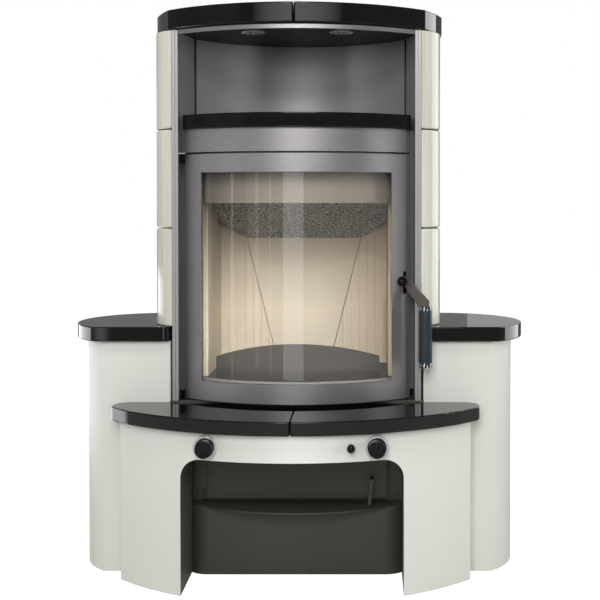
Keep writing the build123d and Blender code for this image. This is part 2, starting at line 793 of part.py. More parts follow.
def hinge_pins():
    """Pins of the door and of the ash door, each on its fixed bracket."""
    low = block(-POST_IN, -250, HINGE_Y - 8, -30, DECK_TOP, DOOR_BOTTOM - 0.5)
    low += upright(3, HINGE_X, HINGE_Y, DOOR_BOTTOM - 1, 412)
    high = block(-POST_IN, -252, HINGE_Y - 6, -36, DOOR_TOP + 0.5, DOOR_TOP + SHEET)
    high += upright(3, HINGE_X, HINGE_Y, 925, DOOR_TOP + 1)
    x0 = ASH_HINGE_X - 6
    x1 = ASH_HINGE_X + 6
    ash_low = block(x0, x1, ASH_HINGE_Y - 5, ASH_PLANE, 155, 158.5)
    ash_low += upright(2, ASH_HINGE_X, ASH_HINGE_Y, 158, 180)
    ash_high = block(x0, x1, ASH_HINGE_Y - 5, ASH_PLANE, 286.5, 290)
    ash_high += upright(2, ASH_HINGE_X, ASH_HINGE_Y, 265, 287)
    return [low, high, ash_low, ash_high]


def handle_pivot():
    """Black ball on the door face with the pin that carries the handle."""
    ball = handle_place() * Pos(-3, 0, 0) * Sphere(11)
    ball -= at_handle(-30, 30, ARM_T - 2.5, 30, -30, 30)
    pin = handle_place() * Pos(ARM_T - 4, 0, 0) * Rot(0, 90, 0) * Cylinder(3, 14)
    head = handle_place() * Pos(ARM_T + 4.2, 0, 0) * Rot(0, 90, 0) * Cylinder(5.5, 3)
    return ball + pin + head - inside_front(DOOR_R, 0, BIG / 2)


def handle_arm():
    """Flat steel arm from the pivot outward and down to the grip."""
    outline = Polyline(
        (0, 0, 12), (0, -82, -39), (0, -82, -51.5), (0, -46, -51.5), (0, -7, -18), (0, 0, -12),
        close=True)
    plate = extrude(make_face([outline]), amount=4, dir=(1, 0, 0))
    eye = Pos(2, 0, 0) * Rot(0, 90, 0) * Cylinder(12, 4)
    neck = block(0, 4, 0, 27, -8, 8)
    arm = Pos(ARM_T - 2, 0, 0) * (plate + eye + neck)
    arm -= Pos(ARM_T, 0, 0) * Rot(0, 90, 0) * Cylinder(3 + RUN, 20)
    return handle_place() * arm


def latch_hook():
    """Cranked hook on the inner end of the arm."""
    bridge = at_handle(-29.5, -27, ARM_T - 2, 20, -6, 6)
    leg = at_handle(-46, -27, 16, 20, -8, 8)
    tip = at_handle(-46, -41, 16, 20, 8, 17)
    return bridge + leg + tip


def on_grip(low, high, radius):
    """Round piece on the axis of the grip."""
    return handle_place() * Pos(ARM_T, -GRIP_OUT, (low + high) / 2) * Cylinder(radius, high - low)


def handle_grip():
    """Dark sleeve of the grip."""
    return on_grip(-176.5, -61.5, GRIP_R)


def handle_caps():
    """Bright notched caps above and below the sleeve."""
    caps = []
    for low, high in ((-61.5, -51.5), (-187.5, -176.5)):
        cap = on_grip(low, high, GRIP_R)
        for step in range(12):
            turn = radians(30 * step)
            x = ARM_T + GRIP_R * cos(turn)
            y = -GRIP_OUT + GRIP_R * sin(turn)
            cap -= handle_place() * Pos(x, y, (low + high) / 2) * Cylinder(1.6, 20)
        caps.append(cap)
    return caps


keep("door_frame", door_frame())
keep("door_glass", door_glass())
keep("glass_retainer", glass_retainer())
keep("door_seal", door_seal())
keep("retainer_screws", *retainer_screws())
keep("hinge_pins", *hinge_pins())
keep("handle_pivot", handle_pivot())
keep("handle_arm", handle_arm())
keep("latch_hook", latch_hook())
keep("handle_grip", handle_grip())
keep("handle_caps", *handle_caps())


# ---- ash door and air controls ---------------------------------------------

def ash_door():
    """Panel in front of the ash pan, with hinge knuckles at the left."""
    front = ASH_PLANE - 13
    door = block(-ASH_DOOR_HALF, ASH_DOOR_HALF, front, ASH_PLANE - 1, 160, 285)
    door -= block(-ASH_HALF, ASH_HALF, front + SHEET, 0, 172, 273)
    for low, high in ((160, 180), (265, 285)):
        door += upright(4.5, ASH_HINGE_X, ASH_HINGE_Y, low, high)
        door -= upright(2 + RUN, ASH_HINGE_X, ASH_HINGE_Y, low, high)
    return door - lying(4 + RUN, LEVER_X, LEVER_Z, -BIG, BIG)


def ash_lever():
    """Upright lever on the ash door with its shaft and the cam that catches the frame."""
    front = -86
    half = 3.5
    place = Pos(LEVER_X, 0, LEVER_Z) * Rot(0, 6, 0)
    grip = place * block(-half, half, front, front + 7, -50, 0)
    grip += place * block(-half, half, front, front + 12, -52, -48)
    grip += lying(6, LEVER_X, LEVER_Z, front, front + 7)
    shaft = lying(4, LEVER_X, LEVER_Z, front, -20)
    cam = block(LEVER_X - 6, LEVER_X + 36, ASH_PLANE + 5, ASH_PLANE + 9, LEVER_Z - 7, LEVER_Z + 7)
    return grip + shaft + cam


def air_knob(side):
    """Knob on a long shaft with the turning shutter in front of the air ports."""
    x = side * KNOB_X
    knob = lying(18.5, x, KNOB_Z, -284, -258)
    knob = fillet(knob.edges().group_by(Axis.Y)[0], 2.5)
    shaft = lying(5, x, KNOB_Z, -260, ASH_PLANE + 6)
    disc = lying(30, x, KNOB_Z, ASH_PLANE - 3, ASH_PLANE - 0.4)
    for port in air_ports(side):
        disc -= port
    return knob + shaft + disc


def knob_bezel():
    """Bright ring round the right knob, seated on the bowed apron."""
    ring = lying(24.5, KNOB_X, KNOB_Z, -263, -230)
    ring -= upright(APRON_R, 0, APRON_NOSE + APRON_R, 0, APRON_TOP)
    ring += lying(21, KNOB_X, KNOB_Z, -263, -228)
    return ring - lying(20, KNOB_X, KNOB_Z, -BIG, BIG)


def shaker_rod():
    """Pull rod with a small domed knob, cranked up to the moving grate."""
    knob = lying(8.5, SHAKER_X, SHAKER_Z, -288, -272)
    knob = fillet(knob.edges().group_by(Axis.Y)[0], 6)
    rod = lying(4, SHAKER_X, SHAKER_Z, -274, 66)
    cross = block(-5, SHAKER_X + 4, 60, 68, SHAKER_Z - 4, SHAKER_Z + 4)
    riser = block(-5, 5, 60, 68, SHAKER_Z, HEARTH - 21)
    return knob + rod + cross + riser


keep("ash_door", ash_door())
keep("ash_lever", ash_lever())
keep("air_knob_right", air_knob(1))
keep("air_knob_left", air_knob(-1))
keep("knob_bezels", *both(knob_bezel()))
keep("shaker_rod", shaker_rod())
keep("grate_moving", grate_moving())

os.makedirs("parts", exist_ok=True)
for name, shape in NODES.items():
    export_step(shape, "parts/" + name + ".step")
print(len(NODES), "sub-parts written")
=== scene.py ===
from math import asin, atan2, cos, pi, radians, sin, sqrt

import bmesh
import bpy
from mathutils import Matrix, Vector


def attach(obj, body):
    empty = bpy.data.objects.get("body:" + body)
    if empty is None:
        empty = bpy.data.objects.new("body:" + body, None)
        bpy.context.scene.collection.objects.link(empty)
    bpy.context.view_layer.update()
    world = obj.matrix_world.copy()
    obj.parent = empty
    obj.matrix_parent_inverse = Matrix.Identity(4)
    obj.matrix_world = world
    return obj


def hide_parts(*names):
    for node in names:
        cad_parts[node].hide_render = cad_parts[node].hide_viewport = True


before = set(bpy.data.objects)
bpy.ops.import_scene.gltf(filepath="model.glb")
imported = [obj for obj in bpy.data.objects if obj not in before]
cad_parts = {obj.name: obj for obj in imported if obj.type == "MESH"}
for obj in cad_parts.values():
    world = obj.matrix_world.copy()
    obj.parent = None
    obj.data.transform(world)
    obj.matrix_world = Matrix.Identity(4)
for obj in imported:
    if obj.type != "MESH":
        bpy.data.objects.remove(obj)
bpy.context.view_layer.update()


# The view. The photograph was taken from about 2.3 m in front of the bench, a little above the
# middle of the door and right of the centre line, with the picture plane nearly upright.
camera_data = bpy.data.cameras.new("view")
camera_data.sensor_width = 36
camera_data.lens = 66.9
camera_data.shift_x = -0.118
camera_data.shift_y = -0.130
camera = bpy.data.objects.new("view", camera_data)
bpy.context.scene.collection.objects.link(camera)
camera.location = (0.167, -2.580, 0.835)
tipped_down = 0.976
camera.rotation_euler = (radians(90 - tipped_down), 0, 0)
bpy.context.scene.camera = camera
bpy.context.scene.view_settings.view_transform = "Standard"


# The studio. Two lamps light the stove from either side, the right one small, so that the handle
# throws its shadow on the door; soft boxes in front, above, beside and behind fill what they leave
# dark. Sizes are metres, powers are watts.
def soft_box(name, place, aim, width, height, watts, mirrored=False):
    """A lamp that faces its aim; glass and metal mirror it only where asked."""
    data = bpy.data.lights.new(name, "AREA")
    data.shape = "RECTANGLE"
    data.size = width
    data.size_y = height
    data.energy = watts
    lamp = bpy.data.objects.new(name, data)
    bpy.context.scene.collection.objects.link(lamp)
    lamp.location = place
    lamp.rotation_euler = (Vector(aim) - Vector(place)).to_track_quat("-Z", "Y").to_euler()
    lamp.visible_glossy = mirrored
    lamp.visible_transmission = mirrored
    return lamp


soft_box("key_box", (2.5, -1.6, 1.0), (0.2, 0, 0.7), 0.14, 0.3, 14)
soft_box("left_key", (-2.3, -2.3, 1.2), (-0.1, 0, 0.6), 0.5, 0.8, 7)
soft_box("front_box", (-0.1, -3.2, 1.45), (0, 0, 0.7), 1.2, 0.6, 36)
soft_box("high_box", (0.0, -3.2, 2.35), (0, 0, 0.9), 1.3, 0.5, 36, mirrored=True)
soft_box("top_box", (0.1, -1.7, 3.4), (0, 0, 0.5), 1.0, 0.6, 26)
soft_box("left_fill", (-2.6, -0.5, 1.2), (-0.2, 0, 0.6), 0.8, 1.8, 18)
soft_box("right_fill", (2.6, -0.3, 1.2), (0.2, 0, 0.6), 0.8, 1.8, 18)
soft_box("back_box", (1.2, 3.0, 2.0), (0, 0, 0.7), 1.6, 1.0, 45)
soft_box("back_left_box", (-2.4, 2.2, 1.6), (0, 0, 0.7), 1.0, 1.0, 20)


def flag(strip, lit):
    """Keeps a strip off all but the parts in one collection, which only mirror it."""
    strip.visible_diffuse = False
    strip.light_linking.receiver_collection = lit


# Two upright strips are mirrored by the steel alone, and stay off the pane.
steel_parts = bpy.data.collections.new("flagged_to_steel")
for name in ("door_frame", "fascia_panel", "front_posts", "niche_liner", "niche_frame"):
    steel_parts.objects.link(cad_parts[name])
right_strip = soft_box("right_strip", (2.3, -1.45, 0.75), (0.23, 0, 0.75), 0.12, 1.3, 4.5, mirrored=True)
left_strip = soft_box("left_strip", (-2.3, -1.45, 0.75), (-0.23, 0, 0.75), 0.12, 1.3, 7.0, mirrored=True)
flag(right_strip, steel_parts)
flag(left_strip, steel_parts)

# A low strip gives the apron its bright band over the portal.
apron_part = bpy.data.collections.new("flagged_to_apron")
apron_part.objects.link(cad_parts["bench_apron"])
low_strip = soft_box("low_strip", (-0.02, -2.3, 0.10), (-0.02, 0, 0.36), 0.5, 0.2, 26, mirrored=True)
flag(low_strip, apron_part)


# The floor. The stove stands on one wide sheet of white paper, which the camera and the glass see as
# nearly white, and which still takes the stove's shadow.
plain_white = (1, 1, 1, 1)


class Wire:
    """A node's output that can stand in a sum: the operators add Math nodes."""

    def __init__(self, finish, socket):
        self.finish = finish
        self.socket = socket

    def math(self, operation, *others):
        return self.finish.node("Math", {"operation": operation}, dict(enumerate((self,) + others)))

    def __add__(self, other):
        return self.math("ADD", other)

    def __sub__(self, other):
        return self.math("SUBTRACT", other)

    def __rsub__(self, other):
        return self.math("MULTIPLY_ADD", -1.0, other)

    def __mul__(self, other):
        return self.math("MULTIPLY", other)

    def __gt__(self, other):
        return self.math("GREATER_THAN", other)

    def __lt__(self, other):
        return self.math("LESS_THAN", other)

    __radd__ = __add__
    __rmul__ = __mul__


class Finish:
    """A node material, or the world, while it is being mixed."""

    def __init__(self, name, world=None):
        self.material = world or bpy.data.materials.new(name)
        self.material.use_nodes = True
        self.tree = self.material.node_tree
        self.tree.nodes.clear()
        self.end = "OutputWorld" if world else "OutputMaterial"

    def node(self, kind, settings=None, sockets=None, out=0):
        """Adds a node: its settings, then a value or a link for each socket; gives one output."""
        made = self.tree.nodes.new("ShaderNode" + kind)
        settings = dict(settings or {})
        # A new ramp is black at 0 and white at 1; a stop that is given there takes that one's place.
        for place, colour in settings.pop("stops", []):
            same = [stop for stop in made.color_ramp.elements if abs(stop.position - place) < 0.0005]
            stop = same[0] if same else made.color_ramp.elements.new(place)
            stop.color = colour
        for key, value in settings.items():
            setattr(made, key, value)
        for key, value in (sockets or {}).items():
            if isinstance(value, Wire):
                self.tree.links.new(value.socket, made.inputs[key])
            else:
                made.inputs[key].default_value = value
        return Wire(self, made.outputs[out]) if made.outputs else None

    def place(self, stretch=(1, 1, 1)):
        """Object coordinates, which for these pieces are metres in the stove's own frame."""
        coordinates = self.node("TexCoord", out="Object")
        return self.node("Mapping", {"vector_type": "POINT"}, {0: coordinates, "Scale": stretch})

    def axis(self, letter):
        """One of the object coordinates: X to the right, Y to the back, Z up."""
        return self.node("SeparateXYZ", None, {0: self.place()}, out=letter)

    def noise(self, scale, detail=2.0, stretch=(1, 1, 1)):
        return self.node("TexNoise", None, {"Vector": self.place(stretch), "Scale": scale, "Detail": detail})

    def ramp(self, value, low, high):
        """Rises from 0 at low to 1 at high."""
        return self.node("MapRange", None, {"Value": value, "From Min": low, "From Max": high})

    def mix(self, share, first, second):
        return self.node("Mix", {"data_type": "RGBA"}, {0: share, 6: first, 7: second}, out=2)

    def bump(self, height, depth, strength=1.0, edge=0.0006):
        """Relief in metres on top of softly broken edges of the given radius."""
        round_edge = self.node("Bevel", {"samples": 4}, {"Radius": edge})
        return self.node("Bump", None, {
            "Height": height, "Distance": depth, "Strength": strength, "Normal": round_edge})

    def surface(self, **sockets):
        """Ends the material in one Principled shader; names are written with underscores."""
        named = {key.replace("_", " "): value for key, value in sockets.items()}
        self.show(self.node("BsdfPrincipled", None, named))

    def show(self, shader):
        self.node(self.end, None, {"Surface": shader})


sweep = Finish("white_sweep")
seen = sweep.node("LightPath", out="Is Camera Ray")
mirrored = sweep.node("LightPath", out="Is Glossy Ray")
passed = sweep.node("LightPath", out="Is Transmission Ray")
paper_tone = sweep.mix(mirrored, (0.50, 0.50, 0.495, 1), (0.30, 0.30, 0.295, 1))
paper = sweep.node("BsdfDiffuse", None, {"Color": paper_tone})
glow = sweep.node("Emission", None, {
    "Color": plain_white, "Strength": 0.93 * seen + 0.93 * passed + 0.12 * mirrored})
sweep.show(sweep.node("AddShader", None, {0: paper, 1: glow}))
bpy.ops.object.select_all(action="DESELECT")
bpy.ops.mesh.primitive_plane_add(size=24, location=(0, 0, 0))
floor = bpy.context.object
floor.name = "floor"
floor.data.materials.append(sweep.material)


# Paper cards stand round the stove, tall ones in front and beside it and low ones behind. Glass,
# granite and steel mirror them, but they give no light.
def mirror_card(name, x0, y0, x1, y1, low, high, strength, fade=0.0):
    """An upright card over a line on the floor; with fade it dims from its middle to its ends."""
    half_width = max(0.01, (x1 - x0) / 2)
    card = Finish(name)
    gloss_only = card.node("LightPath", out="Is Glossy Ray")
    from_middle = card.axis("X") - (x0 + x1) / 2
    falloff = 1.0 - (from_middle * from_middle) * (fade / half_width ** 2)
    clear = card.node("BsdfTransparent", None, {"Color": plain_white})
    lit = card.node("Emission", None, {"Color": plain_white, "Strength": falloff * strength})
    card.show(card.node("MixShader", None, {0: gloss_only, 1: clear, 2: lit}))
    mesh = bpy.data.meshes.new(name)
    mesh.from_pydata([(x0, y0, low), (x1, y1, low), (x1, y1, high), (x0, y0, high)], [], [(0, 1, 2, 3)])
    board = bpy.data.objects.new(name, mesh)
    bpy.context.scene.collection.objects.link(board)
    mesh.materials.append(card.material)


# Name, the line's first and last point, lower and upper edge, brightness.
mirror_card("card_front", -0.62, -2.9, 0.12, -2.9, 0.0, 1.12, 1.9)
mirror_card("card_wide", -2.0, -3.4, 1.8, -3.4, 1.40, 2.5, 2.1, fade=1.0)
mirror_card("card_side", -2.4, -3.0, -2.1, -0.9, 0.2, 2.2, 0.2)
mirror_card("card_slim", -1.82, -2.9, -1.66, -2.9, 0.0, 1.12, 1.2)
mirror_card("card_slimmer", -1.82, -1.5, -1.72, -1.5, 0.0, 1.08, 1.4)
mirror_card("card_narrow", -1.15, -2.9, -1.10, -2.9, 0.0, 1.12, 1.6)
mirror_card("card_right", 2.3, 0.25, 2.3, 2.2, 0.2, 2.3, 3.5)
mirror_card("card_left", -2.3, 2.0, -2.3, 0.2, 0.2, 2.3, 0.3)
mirror_card("card_low_left", -1.3, 1.2, -1.3, 0.1, 0.03, 0.60, 3.6)
mirror_card("card_back_right", 0.52, 1.5, 1.7, 1.5, 0.62, 1.3, 0.5)
mirror_card("card_back_left", -1.7, 1.5, -0.45, 1.5, 0.78, 1.3, 0.5)


# The room is white to the camera and through glass. Polished faces see it dim, and dimmest where they
# look to the front.
room = Finish("white_room", bpy.data.worlds.new("white_room"))
bpy.context.scene.world = room.material
straight = room.node("LightPath", out="Is Camera Ray")
through = room.node("LightPath", out="Is Transmission Ray")
gloss = room.node("LightPath", out="Is Glossy Ray")
towards = room.node("SeparateXYZ", None, {0: room.node("TexCoord", out="Generated")}, out="Y")
behind = room.node("MapRange", None, {
    "Value": towards, "From Min": -0.5, "From Max": 0.6, "To Min": 0.12, "To Max": 0.24})
plain = room.node("Mix", {"data_type": "FLOAT"}, {0: gloss, 2: 0.19, 3: behind})
level = room.node("Mix", {"data_type": "FLOAT"}, {0: straight.math("MAXIMUM", through), 2: plain, 3: 1.0})
room.show(room.node("Background", None, {"Color": plain_white, "Strength": level}))


# The base and the carcass: folded skirt, cases, frame, floor plates, back and spigots of sheet steel,
# welded and screwed, all in one dark satin stove paint that has a very fine grain.
def srgb(red, green, blue):
    """A colour as it looks on screen, 0 to 255, as the linear value that a shader takes."""
    def linear(value):
        value /= 255
        return value / 12.92 if value < 0.04045 else ((value + 0.055) / 1.055) ** 2.4
    return (linear(red), linear(green), linear(blue), 1.0)


def dress(finish, *names):
    """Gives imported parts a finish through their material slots."""
    for name in names:
        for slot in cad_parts[name].material_slots:
            slot.material = finish.material


dark_paint = Finish("dark_paint")
grain = dark_paint.noise(900.0)
cloud = dark_paint.noise(3.0, 3.0)
dark_paint.surface(
    Base_Color=dark_paint.mix(cloud, srgb(74, 74, 68), srgb(86, 85, 79)),
    Metallic=0.5,
    Roughness=0.36 + 0.12 * grain,
    Normal=dark_paint.bump(grain, 0.0002, 0.4))
dress(dark_paint, "plinth", "bottom_plate", "lower_body", "ash_front_frame", "ash_door", "ash_lever",
      "deck_plate", "body_sides", "body_back", "firebox_shell", "ash_chute", "fresh_air_spigot",
      "flue_spigot")


# Feet, ash pan, latch and the small screws are drawn or pressed from bare steel, which is a little
# duller than chrome and shows the lines of the draw.
bare_steel = Finish("bare_steel")
drawn = bare_steel.noise(1200.0, stretch=(1, 1, 0.05))
bare_steel.surface(
    Base_Color=bare_steel.mix(drawn, srgb(150, 148, 144), srgb(178, 176, 172)),
    Metallic=1.0,
    Roughness=0.25 + 0.15 * drawn)
dress(bare_steel, "levelling_feet", "ash_pan", "latch_keeper", "latch_hook", "retainer_screws")


# The bench front and the two wings: cast shells in white satin paint, smooth to the hand. The walls
# that run back from the portal are coloured dark grey.
bench_axis_y, apron_radius = 0.27, 0.5488
portal_half_width, portal_top = 0.2378, 0.2958
white_paint = Finish("white_paint")
haze = white_paint.noise(2.5)
orange_peel = white_paint.noise(260.0, 1.0)
across = white_paint.axis("X")
deep = white_paint.axis("Y") - bench_axis_y
behind_face = (across * across + deep * deep).math("SQRT") < apron_radius
in_portal = (across.math("ABSOLUTE") < portal_half_width) * (white_paint.axis("Z") < portal_top)
coat = white_paint.mix(haze, srgb(203, 205, 197), srgb(211, 212, 205))
white_paint.surface(
    Base_Color=white_paint.mix(behind_face * in_portal, coat, srgb(86, 88, 78)),
    Roughness=0.42 + 0.06 * orange_peel,
    Normal=white_paint.bump(orange_peel, 0.0003, 0.25, 0.0012))
dress(white_paint, "bench_apron", "side_wing_left", "side_wing_right")


# The covers, shelves and bench slabs are black granite with fine grey and bronze flecks, sawn to
# 30 mm and polished on the faces and the rounded edges; they lie on the shells by their weight.
granite = Finish("granite")
cloud = granite.noise(9.0)
fleck_size = granite.noise(620.0, 3.0)
black, white = (0, 0, 0, 1), (1, 1, 1, 1)
flecks = granite.node("ValToRGB", {"stops": [(0.0, black), (0.60, black), (0.80, white)]}, {0: fleck_size})
stone = granite.mix(cloud, srgb(8, 7, 7), srgb(15, 13, 12))
granite.surface(
    Base_Color=granite.mix(flecks, stone, srgb(58, 53, 47)),
    Roughness=0.05,
    IOR=1.5,
    Normal=granite.bump(fleck_size, 0.00001, 0.1, 0.0008))
dress(granite, "bench_top_left", "bench_top_right", "side_shelf_left", "side_shelf_right",
      "top_plate_left", "top_plate_right", "niche_shelf")


# The tower tiles are stoneware, pressed hollow and hung on rails, three to a side. Their cream-white
# glaze has run in faint upright streaks and lies a little uneven.
glaze = Finish("glaze")
streak = glaze.noise(75.0, 3.0, (1, 1, 0.03))
broad = glaze.noise(9.0, 1.0, (1, 1, 0.10))
pool = glaze.noise(14.0)
runs = glaze.node(
    "ValToRGB",
    {"stops": [(0.3, srgb(180, 175, 154)), (0.45, srgb(193, 190, 177)), (0.62, srgb(200, 199, 189))]},
    {0: streak * 0.6 + broad * 0.4})
glaze.surface(
    Base_Color=runs,
    Roughness=0.16,
    Normal=glaze.bump(pool, 0.0012, 0.3, 0.0015))
dress(glaze, "tiles_left", "tiles_right")


# Rail, fascia and door frame are rolled sheet, brushed along its length under a clear grey satin. The
# posts and the niche liner are the same sheet under a fuller coat, which shines less.
door_axis_y, door_radius = 0.260, 0.403
pivot_x = 0.240
turn = asin(pivot_x / door_radius)
pivot_y = door_axis_y - door_radius * cos(turn)
slot_offset = 0.007
slot_middle_z, slot_half_height, slot_half_width = 0.655, 0.0252, 0.0042
liner_edge_x, liner_edge_y, seam_half_width, niche_floor_z = 0.2460, 0.0705, 0.0030, 1.034
knuckle_left, knuckle_right, knuckle_top = -0.2655, -0.2545, 1.0


def brushed_sheet(name, metal, dark, light):
    """Brushed sheet in two greys; more metal makes it shine more."""
    sheet = Finish(name)
    brushed = sheet.noise(1100.0, stretch=(0.03, 0.03, 1))
    tone = sheet.noise(14.0, stretch=(0.3, 0.3, 1))
    east, north, up = sheet.axis("X"), sheet.axis("Y"), sheet.axis("Z")
    # The slot in which the handle's pivot slides, cut upright in the right stile; painted shade colours it
    # near black.
    along = (east - pivot_x) * cos(turn) + (north - pivot_y) * sin(turn) - slot_offset
    outward = (east - pivot_x) * sin(turn) - (north - pivot_y) * cos(turn)
    slot = (along.math("ABSOLUTE") < slot_half_width) * (outward > -0.03)
    slot = slot * ((up - slot_middle_z).math("ABSOLUTE") < slot_half_height)
    # Painted shade in the gaps where the liner meets the posts, and on the hinge knuckles.
    seam = ((north - liner_edge_y).math("ABSOLUTE") < seam_half_width) * (up > niche_floor_z)
    seam = seam * (east.math("ABSOLUTE") > liner_edge_x)
    knuckle = (east > knuckle_left) * (east < knuckle_right) * (up < knuckle_top)
    # All three are coloured near black: painted shade.
    painted_gap_shade = slot.math("MAXIMUM", seam).math("MAXIMUM", knuckle)
    plain = sheet.mix(tone * 0.4, sheet.mix(brushed, dark, light), dark)
    sheet.surface(
        Base_Color=sheet.mix(painted_gap_shade, plain, srgb(12, 12, 12)),
        Metallic=metal,
        Roughness=0.32 + 0.14 * brushed,
        Normal=sheet.bump(brushed, 0.00003, 0.3))
    return sheet


dress(brushed_sheet("grey_steel", 0.85, srgb(144, 141, 143), srgb(172, 169, 171)),
      "niche_frame", "fascia_panel", "door_frame", "glass_retainer")
dress(brushed_sheet("coated_steel", 0.4, srgb(146, 145, 145), srgb(166, 165, 165)),
      "front_posts", "niche_liner")


# The fixed frame behind the door is folded sheet, grey like the posts between the sill and rail height,
# and coloured near black below and above that band: painted shade for the gap under the door, which
# reads as a dark line. The niche ceiling lies above the band, so it is near black all over, painted
# shade for the dark ceiling; the hinge pins take the same finish.
sill_top, rail_height = 0.405, 1.10
frame_and_shade = Finish("frame_and_shade")
mottle = frame_and_shade.noise(60.0, 3.0)
height = frame_and_shade.axis("Z")
painted_shade_black = frame_and_shade.mix(mottle, srgb(16, 15, 15), srgb(30, 29, 28))
frame_and_shade.surface(
    Base_Color=frame_and_shade.mix((height > sill_top) * (height < rail_height), painted_shade_black, srgb(150, 149, 149)),
    Metallic=0.3,
    Roughness=0.45 + 0.15 * mottle,
    Normal=frame_and_shade.bump(mottle, 0.0001, 0.3))
dress(frame_and_shade, "front_frame", "niche_ceiling", "hinge_pins")


# Bright trim: the vent rings in the niche ceiling and the bezels of the air knobs are pressed from
# thin sheet, polished and chromed, and clipped into their holes.
chrome = Finish("chrome")
buffed = chrome.noise(350.0)
chrome.surface(
    Base_Color=chrome.mix(buffed, srgb(196, 197, 199), srgb(224, 225, 227)),
    Metallic=0.8,
    Roughness=0.08 + 0.08 * buffed,
    Normal=chrome.bump(buffed, 0.00002, 0.3, 0.0008))
dress(chrome, "niche_vent_rings", "knob_bezels")


# The firebox lining is pressed cream chamotte in loose plates that lean against the shell. It is
# coloured dark tan towards the top, painted shade under the deflector and the door head, and darker
# towards the right side, painted shade from the right stile.
chamotte = Finish("chamotte")
painted_shade_top = chamotte.ramp(chamotte.axis("Z"), 0.57, 0.83)
painted_shade_right = chamotte.ramp(chamotte.axis("X"), 0.03, 0.21)
grit = chamotte.noise(220.0, 4.0)
shaded_top_colour = chamotte.mix(painted_shade_top, srgb(244, 234, 215), srgb(58, 44, 30))
shaded_side_colour = chamotte.mix(painted_shade_right * 0.65, shaded_top_colour, srgb(128, 112, 92))
chamotte.surface(
    Base_Color=chamotte.mix(grit * 0.35, shaded_side_colour, srgb(196, 180, 156)),
    Roughness=0.85,
    Normal=chamotte.bump(grit, 0.0006, 0.4))
dress(chamotte, "lining_back_centre", "lining_back_sides", "lining_sides", "lining_floor")


# The foam slab under the smoke outlet is open-pored ceramic, cast round a sponge that burns away. It
# is nearly black with grey glints and lies loose on the lining.
foam = Finish("foam")
pores = foam.noise(360.0, 1.0)
foam.surface(
    Base_Color=foam.mix(foam.ramp(pores, 0.42, 0.62), srgb(14, 13, 12), srgb(176, 173, 164)),
    Roughness=0.55,
    Normal=foam.bump(pores, 0.003, 0.9))
dress(foam, "ceramic_filter")


# Log guard, hearth plate and grates are raw grey cast iron with the fine skin of the sand mould. The
# hearth plate, low in the firebox, is coloured darker than the guard that stands on it: painted shade.
cast = Finish("cast_iron")
sand = cast.noise(140.0)
# Below the guard's foot the iron is coloured darker: painted shade on the hearth plate.
iron = cast.mix(cast.ramp(cast.axis("Z"), 0.450, 0.466), srgb(38, 36, 34), srgb(74, 70, 66))
cast.surface(
    Base_Color=cast.mix(sand * 0.3, iron, srgb(88, 83, 78)),
    Metallic=0.3,
    Roughness=0.55 + 0.15 * sand,
    Normal=cast.bump(sand, 0.00008, 0.2, 0.001))
dress(cast, "log_guard", "hearth_casting", "grate_fixed", "grate_moving")


# The door pane is bowed ceramic glass, 4 mm thick, clamped in the frame by the retainer. Light on its
# way to the firebox passes it straight, with a slight loss.
glass = Finish("ceramic_glass")
shadow = glass.node("LightPath", out="Is Shadow Ray")
pane = glass.node("BsdfPrincipled", None, {
    "Base Color": (1.0, 0.985, 0.96, 1), "Roughness": 0.0, "IOR": 1.45, "Transmission Weight": 1.0})
clear = glass.node("BsdfTransparent", None, {"Color": (0.88, 0.87, 0.85, 1)})
glass.show(glass.node("MixShader", None, {0: shadow, 1: pane, 2: clear}))
dress(glass, "door_glass")


# The seal is twisted glass-fibre rope, three strands laid into the channel round the window, behind
# the door sheet; it follows the bow of the door.
def settle(piece, body, finish, smooth=30):
    """Ends a piece: its place goes into its mesh, then its finish, shading and body."""
    if bpy.context.mode != "OBJECT":
        bpy.ops.object.mode_set(mode="OBJECT")
    bpy.ops.object.select_all(action="DESELECT")
    bpy.context.view_layer.objects.active = piece
    piece.select_set(True)
    bpy.ops.object.transform_apply(location=True, rotation=True, scale=True)
    bpy.ops.object.shade_smooth_by_angle(angle=radians(smooth))
    piece.data.materials.clear()
    piece.data.materials.append(finish.material)
    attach(piece, body)


rope = Finish("rope")
braid = rope.noise(900.0, 3.0)
sooted = rope.noise(18.0)
rope.surface(
    Base_Color=rope.mix(braid * 0.6 + sooted * 0.4, srgb(44, 42, 40), srgb(118, 113, 106)),
    Roughness=0.9,
    Normal=rope.bump(braid, 0.0004, 0.7))

# The rope's section: a round of 24 points with three lobes.
strand_radius, lobe_height, round_points = 0.0034, 0.0009, 24
strand_data = bpy.data.curves.new("strand", "CURVE")
strand_data.dimensions = "2D"
strand_data.fill_mode = "NONE"
lobes = strand_data.splines.new("POLY")
lobes.points.add(round_points - 1)
for i, point in enumerate(lobes.points):
    bearing = 2 * pi * i / round_points
    size = strand_radius + lobe_height * cos(3 * bearing)
    point.co = (size * cos(bearing), size * sin(bearing), 0, 1)
lobes.use_cyclic_u = True
strand = bpy.data.objects.new("strand", strand_data)
bpy.context.scene.collection.objects.link(strand)

